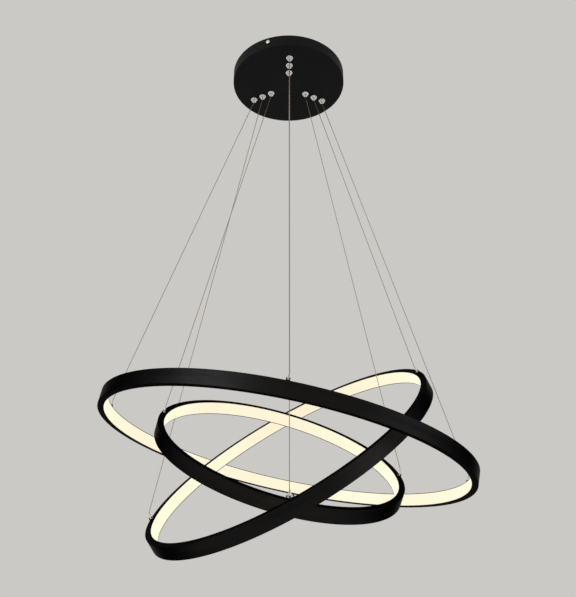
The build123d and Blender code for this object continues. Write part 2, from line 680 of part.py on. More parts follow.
def crimp_direction(ring, side):
    """The way a crimp tube points: towards its gripper, square to the barrel."""
    along = ring_right(ring)
    pull = bend_point(ring, side) - pivot_point(ring, side)
    pull = pull - along * pull.dot(along)
    return pull.normalized()


def ferrule(ring, side):
    """A wire's end: a barrel that turns in its socket, and the crimp tube that holds the wire."""
    middle = pivot_point(ring, side)
    barrel = Plane(origin=middle, z_dir=ring_right(ring)).location * Cylinder(
        BARREL_DIAMETER / 2, BARREL_LENGTH
    )
    tube = Plane(origin=middle, z_dir=crimp_direction(ring, side)).location * rod(
        CRIMP_DIAMETER / 2, 0, CRIMP_LENGTH
    )
    return barrel + tube


# ---- suspension wires ---------------------------------------------------------------------------
def wire_route(ring, side):
    """The wire's four points: inside its gripper, under the sleeve, above the crimp, and in it."""
    start = polar(gripper_circle(ring), GRIPPER_AZIMUTHS[side], WIRE_TOP_Z)
    pull, middle = crimp_direction(ring, side), pivot_point(ring, side)
    end = middle + pull * CRIMP_LENGTH
    return [start, bend_point(ring, side), end + pull * WIRE_STRAIGHT_ABOVE_FERRULE, end]


def wire(ring, side):
    """One suspension wire as a tube along its route, with small arcs where it turns."""
    route = wire_route(ring, side)
    turns = [
        (b - a).get_angle(c - b) for a, b, c in zip(route, route[1:], route[2:])
    ]
    path = FilletPolyline(*route, radius=[WIRE_BEND_RADIUS] * len(turns))
    tube = sweep(Plane(origin=path @ 0, z_dir=path % 0) * Circle(WIRE_DIAMETER / 2), path=path)
    expected = pi * WIRE_DIAMETER**2 / 4 * path.length
    print(
        f"{ring}_{side}_wire: {path.length:.1f} mm long, turns {turns[0]:.1f} and {turns[1]:.1f} degrees"
        f" at radius {WIRE_BEND_RADIUS}, volume {tube.volume / expected:.4f} of section times length"
    )
    return tube


# ---- write every piece ----------------------------------------------------------------------------
os.makedirs("parts", exist_ok=True)
write("ceiling_plate", ceiling_plate())
write("canopy_shell", canopy_shell())
write("canopy_side_screws", canopy_side_screws())
write("driver_case", driver_case())
write("driver_lid", driver_lid())
write("driver_board", driver_board())
write("driver_screws", driver_screws())
write("terminal_block", terminal_block())
write("terminal_screws", terminal_screws())
write("terminal_block_screws", terminal_block_screws())
write("earth_screw", earth_screw())

places = gripper_places()
for node, piece in (
    ("gripper_bodies", gripper_body()),
    ("gripper_nuts", gripper_nut()),
    ("grip_balls", grip_balls()),
    ("gripper_springs", gripper_spring()),
):
    write(node, solids_of([place * piece for place in places.values()]))
for (ring, side), place in places.items():
    write(f"{ring}_{side}_release", place * release_sleeve())

for ring in RINGS:
    frame = ring_frame(ring)
    write(f"{ring}_profile", frame * ring_profile(ring))
    write(f"{ring}_diffuser", frame * diffuser(ring))
    write(f"{ring}_led_strip", frame * led_strip(ring))
    write(f"{ring}_splice_plate", frame * splice_plate(ring))
    write(f"{ring}_splice_screws", frame * splice_screws(ring))
    write(f"{ring}_anchor_sockets", frame * anchor_sockets(ring))
    write(f"{ring}_front_ferrule", ferrule(ring, "front"))
    write(f"{ring}_side_ferrules", solids_of([ferrule(ring, "left"), ferrule(ring, "right")]))
    for side in SIDES:
        write(f"{ring}_{side}_wire", wire(ring, side))
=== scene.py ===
"""Looks of a three-ring LED chandelier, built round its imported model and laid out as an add-on.

Metres. The origin is on the ceiling plane at the canopy's axis, +Z is up, and -Y is the front. Each
ring has its own frame: X to the right along it, Y to its back edge and Z along its upward normal.
"""

import json
from math import cos, pi, radians, sin

import bmesh
import bpy
import numpy as np
from bpy.props import FloatProperty, FloatVectorProperty, PointerProperty
from mathutils import Matrix, Vector

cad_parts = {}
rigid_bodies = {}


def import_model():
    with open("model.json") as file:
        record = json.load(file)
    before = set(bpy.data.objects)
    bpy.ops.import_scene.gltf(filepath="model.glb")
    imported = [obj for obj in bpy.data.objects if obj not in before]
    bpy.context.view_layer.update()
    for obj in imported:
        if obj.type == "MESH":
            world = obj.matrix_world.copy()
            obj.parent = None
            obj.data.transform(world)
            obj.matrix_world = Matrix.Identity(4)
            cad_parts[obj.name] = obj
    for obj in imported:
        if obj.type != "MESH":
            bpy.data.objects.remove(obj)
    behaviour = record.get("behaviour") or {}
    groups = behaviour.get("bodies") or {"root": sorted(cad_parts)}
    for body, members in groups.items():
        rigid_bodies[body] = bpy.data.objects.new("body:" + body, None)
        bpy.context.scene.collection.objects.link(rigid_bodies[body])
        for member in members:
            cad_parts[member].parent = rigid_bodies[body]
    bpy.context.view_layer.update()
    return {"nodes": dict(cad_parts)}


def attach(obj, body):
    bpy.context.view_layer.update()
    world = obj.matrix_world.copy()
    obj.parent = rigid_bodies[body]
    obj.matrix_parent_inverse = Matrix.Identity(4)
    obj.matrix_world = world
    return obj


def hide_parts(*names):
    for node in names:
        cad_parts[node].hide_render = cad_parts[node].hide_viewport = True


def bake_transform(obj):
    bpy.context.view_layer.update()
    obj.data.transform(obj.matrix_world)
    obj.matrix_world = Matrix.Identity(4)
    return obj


bl_info = {
    "name": "Ring Chandelier",
    "version": (1, 0, 0),
    "blender": (4, 5, 0),
    "location": "3D View > Sidebar > Chandelier",
    "description": "Builds the pieces, finishes and stage of a chandelier with three light rings",
    "category": "Add Mesh",
}

for leftover in list(bpy.data.objects):
    bpy.data.objects.remove(leftover)
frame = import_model()

RINGS = ("large", "medium", "small")
SIDES = ("front", "left", "right")
GRIPPER_ANGLES = {"front": radians(-90), "left": radians(150), "right": radians(30)}
SEAM_ANGLE = radians(90)

RING_STEPS = 384
TURNED_STEPS = 48
DOME_STEPS = 25
FACE_STEPS = 23
WIRE_SIDES = 16
FLOOR_STEPS = 64
ROUND_STEPS = 4
CORNER_POINTS = ROUND_STEPS + 3
HOLD_DISTANCE = 0.00012
SHARP_ANGLE = radians(40)
MERGE_DISTANCE = 1e-7
STRAIGHT_TURN = 1e-3
NOISE_LOW, NOISE_HIGH = 0.3, 0.7

LAMP_SIZE = 1.6
LAMP_TARGET = (0.0, 0.0, -0.6)
KEY_PLACE = (-1.9, -2.0, 0.1)
FILL_PLACE = (2.2, -1.2, -1.3)
ANCHOR_TURN = "Turn from the ring's right to its front wire"


# ---- what a user would change ---------------------------------------------------------------------
def length(name, default, description):
    """A size in metres."""
    return FloatProperty(
        name=name, description=description, default=default, min=0.0, unit="LENGTH", precision=5
    )


def level(name, default, description):
    """A height on Z in metres, which may be below the ceiling plane."""
    return FloatProperty(
        name=name, description=description, default=default, unit="LENGTH", precision=5
    )


def place(name, default, description):
    """A point in metres."""
    return FloatVectorProperty(
        name=name, description=description, default=default, subtype="XYZ", unit="LENGTH", precision=5
    )


def angle(name, default, description):
    """An angle, whose default is given in degrees."""
    return FloatProperty(
        name=name, description=description, default=radians(default), unit="ROTATION"
    )


def colour(name, default, description):
    """A linear colour."""
    return FloatVectorProperty(
        name=name, description=description, default=default, subtype="COLOR", min=0.0, max=1.0
    )


def strength(name, default, description):
    """A plain number that isn't below zero."""
    return FloatProperty(name=name, description=description, default=default, min=0.0)


class RingPlaces(bpy.types.PropertyGroup):
    """How large the three rings are, where they hang and how far they lean"""

    large_diameter: length("Large Ring", 0.600, "Outer diameter of the large ring")
    large_centre: place("Large Centre", (-0.005, -0.001, -0.769), "Middle of the large ring")
    large_lean_back: angle("Large Lean Back", 2.4, "Lift of the large ring's back edge")
    large_lean_left: angle("Large Lean Left", 11.8, "Lift of the large ring's left edge")
    large_front_anchor: angle("Large Front Anchor", -91.2, ANCHOR_TURN)
    medium_diameter: length("Medium Ring", 0.500, "Outer diameter of the medium ring")
    medium_centre: place("Medium Centre", (-0.001, 0.006, -0.779), "Middle of the medium ring")
    medium_lean_back: angle("Medium Lean Back", 31.5, "Lift of the medium ring's back edge")
    medium_lean_left: angle("Medium Lean Left", -29.8, "Lift of the medium ring's left edge")
    medium_front_anchor: angle("Medium Front Anchor", -88.1, ANCHOR_TURN)
    small_diameter: length("Small Ring", 0.400, "Outer diameter of the small ring")
    small_centre: place("Small Centre", (-0.013, -0.001, -0.780), "Middle of the small ring")
    small_lean_back: angle("Small Lean Back", 35.7, "Lift of the small ring's back edge")
    small_lean_left: angle("Small Lean Left", 15.2, "Lift of the small ring's left edge")
    small_front_anchor: angle("Small Front Anchor", -88.7, ANCHOR_TURN)
    side_anchor: angle("Side Anchors", 4.0, "How far behind the rings' middles the side wires end")


class RingSection(bpy.types.PropertyGroup):
    """The section of a ring: a channel open inwards, with a light strip's diffuser in its mouth"""

    height: length("Height", 0.022, "Height of the channel")
    depth: length("Depth", 0.010, "Depth of the channel from its outer face to its lips")
    wall: length("Outer Wall", 0.0014, "Thickness of the channel's outer wall")
    flange: length("Flange", 0.0010, "Thickness of the channel's two flanges")
    corner_radius: length("Corner Radius", 0.0005, "Rounding of the channel's outer corners")
    lip_radius: length("Lip Radius", 0.00025, "Rounding of the channel's lips")
    seam_gap: length("Seam Gap", 0.0003, "Gap between the channel's two ends at the back")
    diffuser_thickness: length("Diffuser Thickness", 0.0016, "Thickness of the diffuser")
    diffuser_proud: length("Diffuser Proud", 0.0008, "How far the diffuser stands out of the lips")
    diffuser_play: length("Diffuser Play", 0.0001, "Gap between the diffuser and a flange")
    diffuser_crown: length("Diffuser Crown", 0.0003, "Swell of the diffuser's lit face")
    diffuser_edge: length("Diffuser Edge", 0.0006, "Rounding of the diffuser's two edges")
    screw_spacing: length("Seam Screw Spacing", 0.022, "Distance between the two seam screws")
    screw_head: length("Seam Screw Head", 0.0056, "Diameter of a seam screw's head")
    screw_dome: length("Seam Screw Dome", 0.00045, "Height of a seam screw's domed head")


class WireSizes(bpy.types.PropertyGroup):
    """The suspension wires, the grippers that hold them and their ends on the rings"""

    diameter: length("Wire", 0.0012, "Diameter of a suspension wire with its clear sleeve")
    gripper_circle: length("Outer Gripper Circle", 0.080, "Radius of the outermost grippers' circle")
    gripper_pitch: length("Gripper Pitch", 0.020, "Step from one gripper to the next one inwards")
    top_level: level("Wire Top", -0.0126, "Height at which a wire ends in its gripper")
    bend_level: level("Wire Bend", -0.0346, "Height at which a wire turns towards its ring")
    pivot_height: length("Pivot Height", 0.0027, "Height of a ferrule's pivot above the ring")
    crimp_length: length("Crimp Length", 0.007, "Reach of a crimp tube from its pivot")
    straight_end: length("Straight End", 0.0034, "Straight stretch of wire above a crimp tube")


class GripperSizes(bpy.types.PropertyGroup):
    """The grippers in the canopy's floor and their release sleeves"""

    thread_diameter: length("Thread", 0.008, "Diameter of a gripper's threaded shank")
    thread_pitch: length("Thread Pitch", 0.001, "Pitch of the thread")
    thread_depth: length("Thread Depth", 0.0004, "Depth of the thread")
    collar_diameter: length("Collar", 0.013, "Diameter of the collar under the canopy")
    collar_height: length("Collar Height", 0.004, "Height of the collar")
    collar_radius: length("Collar Rounding", 0.0008, "Rounding of the collar's lower edge")
    guide_diameter: length("Guide Bore", 0.0061, "Bore that guides the release sleeve")
    cap_bore: length("Cap Bore", 0.0024, "Hole for the wire in the gripper's cap")
    cap_thickness: length("Cap Thickness", 0.0016, "Thickness of the gripper's cap")
    top_level: level("Gripper Top", -0.0118, "Height of the gripper's upper end")
    floor_level: level("Canopy Underside", -0.025, "Height of the canopy's underside")
    sleeve_diameter: length("Sleeve", 0.006, "Diameter of the release sleeve")
    sleeve_bore: length("Sleeve Bore", 0.0024, "Bore of the release sleeve")
    sleeve_top: level("Sleeve Top", -0.0244, "Height of the release sleeve's upper end")
    sleeve_bottom: level("Sleeve Bottom", -0.033, "Height of the release sleeve's lower end")
    head_diameter: length("Sleeve Head", 0.0085, "Diameter of the release sleeve's head")
    head_height: length("Sleeve Head Height", 0.0015, "Height of the release sleeve's head")
    knurl_depth: length("Knurl Depth", 0.00018, "Depth of the grooves round the sleeve's head")


class FinishColours(bpy.types.PropertyGroup):
    """The colours and the glow of the visible pieces"""

    canopy: colour("Canopy", (0.0070, 0.0076, 0.0078), "Powder coat of the canopy")
    profile: colour("Profile", (0.0130, 0.0125, 0.0125), "Satin black of the ring profiles")
    glow: colour("Glow", (1.0, 0.955, 0.705), "Light of the diffusers")
    glow_ends: colour("Glow Ends", (1.0, 0.870, 0.650), "Second tone of the diffusers' light")
    glow_strength: strength("Glow Strength", 0.9, "Strength of the diffusers' light")
    opal: colour("Opal", (0.16, 0.15, 0.12), "Surface of the diffusers under their own light")
    chrome: colour("Chrome", (0.95, 0.95, 0.93), "Plating of grippers and side screws")
    wire: colour("Wire", (0.40, 0.33, 0.26), "Steel rope of the suspension wires")


class StageSettings(bpy.types.PropertyGroup):
    """The floor, the light and the camera"""

    floor_level: level("Floor Level", -2.6, "Height of the floor")
    floor_radius: length("Floor Radius", 40.0, "Radius of the floor")
    backdrop: colour("Backdrop", (0.60, 0.585, 0.56), "Colour of the floor and the background")
    floor_lift: strength("Floor Lift", 0.42, "Light added to the floor where it is seen")
    ambient: strength("Ambient", 0.55, "Strength of the even light from all round")
    key_power: strength("Key Power", 24.0, "Power of the soft lamp on the front left")
    fill_power: strength("Fill Power", 10.0, "Power of the soft lamp on the right")
    camera_place: place("Camera Place", (-0.0313, -1.2367, -1.129), "Where the camera stands")
    camera_pitch: angle("Camera Pitch", 26.84, "How far the camera looks up")
    camera_pan: angle("Camera Pan", 1.4, "How far the camera is turned to the right")
    focal_length: strength("Focal Length", 48.24, "Focal length of the camera in millimetres")


# ---- surfaces -------------------------------------------------------------------------------------
def rounded(corners, radii):
    """A closed outline with its corners rounded.

    A corner P with the radius r lies between A and B, each r away from P along one of its two sides,
    and becomes the parabola (1 - t)^2 A + 2 t (1 - t) P + t^2 B. One point outside A and one outside
    B hold the shading of the flats beside it.
    """
    corners = np.array(corners, float)
    radii = np.broadcast_to(np.array(radii, float), len(corners))[:, None, None]
    back = np.roll(corners, 1, 0) - corners
    ahead = np.roll(corners, -1, 0) - corners
    back = (back / np.linalg.norm(back, axis=1)[:, None])[:, None]
    ahead = (ahead / np.linalg.norm(ahead, axis=1)[:, None])[:, None]
    corner = corners[:, None]
    t = np.linspace(0, 1, ROUND_STEPS + 1)[None, :, None]
    curve = corner + radii * ((1 - t) ** 2 * back + t**2 * ahead)
    before = corner + (radii + HOLD_DISTANCE) * back
    after = corner + (radii + HOLD_DISTANCE) * ahead
    return np.concatenate([before, curve, after], axis=1).reshape(-1, 2)


def outline_lengths(outline, closed):
    """The distance along an outline to each of its points, and back to the first if it is closed."""
    if closed:
        outline = np.concatenate([outline, outline[:1]])
    steps = np.linalg.norm(np.diff(outline, axis=0), axis=1)
    return np.concatenate([[0], np.cumsum(steps)])


def carried_round(outline, angles, swell=0.0):
    """The surface of an outline of (radius, height) carried about Z.

    Point (i, j) is (r cos a, r sin a, h) with a the angle i, h the height j and r the radius j plus
    the swell (i, j).
    """
    radius = outline[:, 0] + swell
    x, y = np.cos(angles)[:, None] * radius, np.sin(angles)[:, None] * radius
    return np.stack([x, y, np.broadcast_to(outline[:, 1], x.shape)], axis=-1)


def grid(points, along, across, rows_closed=False, columns_closed=False, capped=False):
    """The points, faces and texture places of a grid of points.

    A face goes (i, j), (i + 1, j), (i + 1, j + 1), (i, j + 1). Its texture places are the distances
    along i and across j. A cap is one flat face over the first row, and one over the last.
    """
    rows, columns = points.shape[:2]
    i, j = np.meshgrid(
        np.arange(rows if rows_closed else rows - 1),
        np.arange(columns if columns_closed else columns - 1),
        indexing="ij",
    )
    i, j = i.ravel(), j.ravel()
    corner_rows = np.stack([i, i + 1, i + 1, i], 1)
    corner_columns = np.stack([j, j, j + 1, j + 1], 1)
    faces = (corner_rows % rows * columns + corner_columns % columns).tolist()
    texture = np.stack([along[corner_rows], across[corner_columns]], -1).reshape(-1, 2)
    if capped:
        first, last = list(range(columns)), list(range((rows - 1) * columns, rows * columns))
        faces += [first, last[::-1]]
        texture = np.concatenate([texture, np.zeros((2 * columns, 2))])
    return points.reshape(-1, 3), faces, texture


def ring_axes(ring):
    """A ring's centre, and the three axes of its frame as rows.

    With a the lean back and b the lean left, right is (cos b, sin a sin b, -cos a sin b), back is
    (0, cos a, sin a), and the normal is (sin b, -sin a cos b, cos a cos b).
    """
    places = bpy.context.scene.ring_places
    a, b = getattr(places, f"{ring}_lean_back"), getattr(places, f"{ring}_lean_left")
    right = (cos(b), sin(a) * sin(b), -cos(a) * sin(b))
    back = (0, cos(a), sin(a))
    normal = (sin(b), -sin(a) * cos(b), cos(a) * cos(b))
    return np.array(getattr(places, f"{ring}_centre")), np.array([right, back, normal])


def in_ring(ring, points):
    """Points of a ring's own frame in the object's: the centre plus x right, y back and z normal."""
    centre, axes = ring_axes(ring)
    return centre + points @ axes


def outer_radius(ring):
    return getattr(bpy.context.scene.ring_places, f"{ring}_diameter") / 2


# ---- pieces ---------------------------------------------------------------------------------------
def add_piece(name, parts, material, merge=False):
    """One object of one or more grids, with its place in its mesh and its origin at the object's."""
    old = bpy.data.objects.get(name)
    if old:
        bpy.data.objects.remove(old)
    starts = np.cumsum([0] + [len(points) for points, _, _ in parts])
    faces = [
        [corner + int(start) for corner in face]
        for start, (_, part_faces, _) in zip(starts, parts)
        for face in part_faces
    ]
    mesh = bpy.data.meshes.new(name)
    mesh.from_pydata(np.concatenate([points for points, _, _ in parts]).tolist(), [], faces)
    layer = mesh.uv_layers.new(name="surface")
    layer.data.foreach_set("uv", np.concatenate([t for _, _, t in parts]).astype(np.float32).ravel())
    if merge:
        close_poles(mesh)
    mesh.shade_smooth()
    mesh.set_sharp_from_angle(angle=SHARP_ANGLE)
    mesh.materials.append(material)
    piece = bpy.data.objects.new(name, mesh)
    bpy.context.scene.collection.objects.link(piece)
    return piece


def close_poles(mesh):
    """Joins the points that share a place, as at the poles of a turned shape."""
    shape = bmesh.new()
    shape.from_mesh(mesh)
    bmesh.ops.remove_doubles(shape, verts=shape.verts, dist=MERGE_DISTANCE)
    shape.to_mesh(mesh)
    shape.free()


# ---- ring pieces ----------------------------------------------------------------------------------
def profile_outline(ring):
    """The channel's outline, counterclockwise from its lower lip: (radius, height)."""
    section = bpy.context.scene.ring_section
    outer, half = outer_radius(ring), section.height / 2
    lip, web = outer - section.depth, outer - section.wall
    mouth = half - section.flange
    corners = [
        (lip, -half), (outer, -half), (outer, half), (lip, half),
        (lip, mouth), (web, mouth), (web, -mouth), (lip, -mouth),
    ]
    radii = [section.lip_radius] * len(corners)
    radii[1] = radii[2] = section.corner_radius
    return rounded(corners, radii)


def profile_surface(ring):
    """The channel's outline carried round the ring from one side of the seam to the other."""
    outline = profile_outline(ring)
    half_gap = bpy.context.scene.ring_section.seam_gap / 2 / outer_radius(ring)
    angles = np.linspace(SEAM_ANGLE + half_gap, SEAM_ANGLE + 2 * pi - half_gap, RING_STEPS + 1)
    points = in_ring(ring, carried_round(outline, angles))
    along = (angles - angles[0]) * outer_radius(ring)
    return grid(points, along, outline_lengths(outline, True), columns_closed=True, capped=True)


def diffuser_outline(ring):
    """The diffuser's outline, counterclockwise from its lower back edge: (radius, height).

    At the height h, with H half the width, the lit face is at inner + crown (h / H)^2 + edge
    (1 - sqrt(1 - s^2)), where s is 0 up to an edge from the rim and then grows evenly to 1 at it.
    """
    section = bpy.context.scene.ring_section
    half = section.height / 2 - section.flange - section.diffuser_play
    inner = outer_radius(ring) - section.depth - section.diffuser_proud
    height = half * np.cos(np.linspace(0, pi, FACE_STEPS + 1))
    rim = np.clip((np.abs(height) - half + section.diffuser_edge) / section.diffuser_edge, 0, 1)
    radius = inner + section.diffuser_crown * (height / half) ** 2
    radius += section.diffuser_edge * (1 - np.sqrt(1 - rim**2))
    back = inner + section.diffuser_thickness
    face = np.stack([radius, height], 1)
    return np.concatenate([[(back, -half), (back, half)], face])


def diffuser_surface(ring):
    """The diffuser's outline carried once round the ring."""
    outline = diffuser_outline(ring)
    angles = np.linspace(SEAM_ANGLE, SEAM_ANGLE + 2 * pi, RING_STEPS + 1)
    points = in_ring(ring, carried_round(outline, angles[:-1]))
    along = (angles - angles[0]) * outer_radius(ring)
    across = outline_lengths(outline, True)
    return grid(points, along, across, rows_closed=True, columns_closed=True)


def screw_head_surface():
    """A domed head on Z with a cross recess, its flat underside and its rim.

    With R the head's radius, the dome is at dome (1 - (r / R)^2). An arm of the recess takes away
    depth s(x) s(y), where s falls from 1 to 0 about its half width in x and its half length in y.
    """
    section = bpy.context.scene.ring_section
    radius, dome = section.screw_head / 2, section.screw_dome
    arm_width, arm_length, softness = 0.13 * radius, 0.62 * radius, 0.07 * radius
    depth, seat = 0.9 * dome, 0.0002
    top = np.linspace(1, 0, DOME_STEPS + 1)
    outline = np.concatenate(
        [[(0, -seat), (radius, -seat)], np.stack([radius * top, dome * (1 - top**2)], 1)]
    )
    angles = np.linspace(0, 2 * pi, 2 * TURNED_STEPS + 1)
    points = carried_round(outline, angles[:-1])
    x, y = np.abs(points[..., 0]), np.abs(points[..., 1])

    def fall(value, limit):
        return np.clip((limit - value) / softness + 0.5, 0, 1)

    def arm(width, reach):
        return fall(width, arm_width) * fall(reach, arm_length)

    recess = np.maximum(arm(x, y), arm(y, x))
    below_dome = 3
    recess[:, :below_dome] = 0
    points[..., 2] -= depth * recess
    return points, angles * radius, outline_lengths(outline, False)


def on_outer_face(ring, turn, points):
    """Points on Z moved to the ring's outer face, whose outward normal there takes the place of Z."""
    out = np.array([cos(turn), sin(turn), 0])
    side = np.array([-sin(turn), cos(turn), 0])
    up = np.array([0, 0, 1.0])
    local = outer_radius(ring) * out + points @ np.array([side, up, out])
    return in_ring(ring, local)


class CHANDELIER_OT_ring_profiles(bpy.types.Operator):
    """Builds the three rings' black channels"""

    bl_idname = "chandelier.ring_profiles"
    bl_label = "Ring Profiles"

    def execute(self, context):
        material = profile_finish()
        for ring in RINGS:
            piece = add_piece(f"{ring}_channel", [profile_surface(ring)], material)
            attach(piece, f"{ring}_ring")
            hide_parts(f"{ring}_profile")
        return {"FINISHED"}


class CHANDELIER_OT_diffusers(bpy.types.Operator):
    """Builds the three rings' glowing diffusers"""

    bl_idname = "chandelier.diffusers"
    bl_label = "Diffusers"

    def execute(self, context):
        material = diffuser_finish()
        for ring in RINGS:
            piece = add_piece(f"{ring}_light_band", [diffuser_surface(ring)], material)
            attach(piece, f"{ring}_ring")
            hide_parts(f"{ring}_diffuser")
        return {"FINISHED"}


class CHANDELIER_OT_seam_screws(bpy.types.Operator):
    """Builds the two domed screws at each ring's seam"""

    bl_idname = "chandelier.seam_screws"
    bl_label = "Seam Screws"

    def execute(self, context):
        spacing = context.scene.ring_section.screw_spacing
        material = steel_finish("screw_steel")
        points, along, across = screw_head_surface()
        for ring in RINGS:
            turn = spacing / 2 / outer_radius(ring)
            heads = [
                grid(on_outer_face(ring, at, points), along, across, rows_closed=True)
                for at in (SEAM_ANGLE - turn, SEAM_ANGLE + turn)
            ]
            piece = add_piece(f"{ring}_seam_screws", heads, material, merge=True)
            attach(piece, f"{ring}_ring")
            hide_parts(f"{ring}_splice_screws")
        return {"FINISHED"}


# ---- wires ----------------------------------------------------------------------------------------
def gripper_point(ring, side, height):
    """A point on a gripper's axis."""
    wires = bpy.context.scene.wire_sizes
    radius = wires.gripper_circle - RINGS.index(ring) * wires.gripper_pitch
    turn = GRIPPER_ANGLES[side]
    return np.array([radius * cos(turn), radius * sin(turn), height])


def anchor_angle(ring, side):
    """The turn from a ring's right to the anchor of one of its wires."""
    places = bpy.context.scene.ring_places
    if side == "front":
        return getattr(places, f"{ring}_front_anchor")
    return places.side_anchor if side == "right" else pi - places.side_anchor


def wire_route(ring, side):
    """The wire's control points.

    They go from inside its gripper down to its bend, and from there straight to the crimp tube on the
    ring. The two long runs' ends have a point six diameters from each bend. A crimp tube points from
    its pivot to the bend above, less what lies along the pivot's own line, the ring's right.
    """
    section, wires = bpy.context.scene.ring_section, bpy.context.scene.wire_sizes
    start = gripper_point(ring, side, wires.top_level)
    bend = gripper_point(ring, side, wires.bend_level)
    radius, turn = outer_radius(ring) - section.depth / 2, anchor_angle(ring, side)
    height = section.height / 2 + wires.pivot_height
    pivot = in_ring(ring, np.array([radius * cos(turn), radius * sin(turn), height]))
    right = ring_axes(ring)[1][0]
    pull = bend - pivot
    pull -= right * (pull @ right)
    pull /= np.linalg.norm(pull)
    end = pivot + wires.crimp_length * pull
    turning = end + wires.straight_end * pull
    run = turning - bend
    run /= np.linalg.norm(run)
    near = 6 * wires.diameter
    above = bend + np.array([0, 0, near])
    return np.array([start, above, bend, bend + near * run, turning - near * run, turning, end])


def centreline(route):
    """The points of the smooth line that has the route's points as its control points."""
    curve = bpy.data.curves.new("route", "CURVE")
    curve.dimensions = "3D"
    spline = curve.splines.new("NURBS")
    spline.points.add(len(route) - 1)
    spline.points.foreach_set("co", np.append(route, np.ones((len(route), 1)), axis=1).ravel())
    spline.order_u = 3
    spline.use_endpoint_u = True
    spline.resolution_u = 12
    carrier = bpy.data.objects.new("route", curve)
    line = bpy.data.meshes.new_from_object(carrier)
    points = np.zeros(3 * len(line.vertices), np.float32)
    line.vertices.foreach_get("co", points)
    bpy.data.meshes.remove(line)
    bpy.data.curves.remove(curve)
    return points.reshape(-1, 3).astype(float)


def bends_only(line):
    """The line without the points in its straight stretches, so that a wire stays straight there."""
    steps = np.diff(line, axis=0)
    steps /= np.linalg.norm(steps, axis=1)[:, None]
    turns = np.linalg.norm(np.cross(steps[:-1], steps[1:]), axis=1)
    return line[np.concatenate([[True], turns > STRAIGHT_TURN, [True]])]


def tube_surface(line, radius):
    """A round tube: point (i, j) is centre i + radius (cos a u - sin a v) with a the angle j.

    u is the line's direction crossed with X, and v is that direction crossed with u.
    """
    steps = np.diff(line, axis=0)
    steps /= np.linalg.norm(steps, axis=1)[:, None]
    ahead = np.concatenate([steps[:1], steps[:-1] + steps[1:], steps[-1:]])
    ahead /= np.linalg.norm(ahead, axis=1)[:, None]
    u = np.cross(ahead, [1.0, 0, 0])
    u /= np.linalg.norm(u, axis=1)[:, None]
    v = np.cross(ahead, u)
    around = np.linspace(0, 2 * pi, WIRE_SIDES + 1)
    a = around[None, :-1, None]
    points = line[:, None] + radius * (np.cos(a) * u[:, None] - np.sin(a) * v[:, None])
    return grid(
        points, outline_lengths(line, False), around / (2 * pi), columns_closed=True, capped=True
    )


def follow_ring(piece, ring, route):
    """Lets a front wire's lower end move with its ring, while the rest stays with the canopy."""
    name = f"{ring}_front_wire_end"
    guide = bpy.data.objects.get(name) or bpy.data.objects.new(name, None)
    if not guide.users_collection:
        bpy.context.scene.collection.objects.link(guide)
    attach(guide, f"{ring}_ring")
    points = np.zeros(3 * len(piece.data.vertices), np.float32)
    piece.data.vertices.foreach_get("co", points)
    bend, turning = route[2], route[5]
    middle = (bend[2] + turning[2]) / 2
    low = np.flatnonzero(points.reshape(-1, 3)[:, 2] < middle)
    hook = piece.modifiers.new("ring end", "HOOK")
    hook.object = guide
    hook.center = route[-1]
    hook.matrix_inverse = Matrix.Identity(4)
    hook.vertex_indices_set(low.tolist())


class CHANDELIER_OT_wires(bpy.types.Operator):
    """Builds the nine suspension wires at their real length"""

    bl_idname = "chandelier.wires"
    bl_label = "Suspension Wires"

    def execute(self, context):
        diameter = context.scene.wire_sizes.diameter
        material = wire_finish()
        for ring in RINGS:
            for side in SIDES:
                route = wire_route(ring, side)
                line = bends_only(centreline(route))
                piece = add_piece(f"{ring}_{side}_rope", [tube_surface(line, diameter / 2)], material)
                if side == "front":
                    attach(piece, "canopy")
                    follow_ring(piece, ring, route)
                else:
                    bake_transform(piece)
                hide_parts(f"{ring}_{side}_wire")
        return {"FINISHED"}


# ---- grippers -------------------------------------------------------------------------------------
def gripper_surface(centre):
    """A gripper's body on its axis: a collar, a threaded shank and the bore through both.

    The shank's radius is less by thread depth |2 f - 1|, where f is the fraction of z / pitch minus
    the turn about the axis.
    """
    sizes = bpy.context.scene.gripper_sizes
    collar, shank = sizes.collar_diameter / 2, sizes.thread_diameter / 2
    guide, hole = sizes.guide_diameter / 2, sizes.cap_bore / 2
    bottom = sizes.floor_level - sizes.collar_height
    chamber_top = sizes.top_level - sizes.cap_thickness
    edge = 0.0002
    lower = rounded(
        [(guide, bottom), (collar, bottom), (collar, sizes.floor_level), (guide, sizes.floor_level)],
        [edge, sizes.collar_radius, edge, edge],
    )[: 3 * CORNER_POINTS]
    per_turn = 6
    turns = round((sizes.top_level - sizes.floor_level) / sizes.thread_pitch)
    heights = np.linspace(sizes.floor_level, sizes.top_level, turns * per_turn)
    thread = np.stack([np.full(len(heights), shank), heights], 1)
    bore = [(hole, sizes.top_level), (hole, chamber_top), (guide, chamber_top)]
    outline = np.concatenate([lower, thread, bore])
    angles = np.linspace(0, 2 * pi, TURNED_STEPS + 1)
    cut = np.zeros((TURNED_STEPS, len(outline)))
    phase = (heights / sizes.thread_pitch - angles[:-1, None] / (2 * pi)) % 1
    cut[:, len(lower) : len(lower) + len(heights)] = -sizes.thread_depth * np.abs(2 * phase - 1)
    points = centre + carried_round(outline, angles[:-1], cut)
    along, across = angles * shank, outline_lengths(outline, True)
    return grid(points, along, across, rows_closed=True, columns_closed=True)


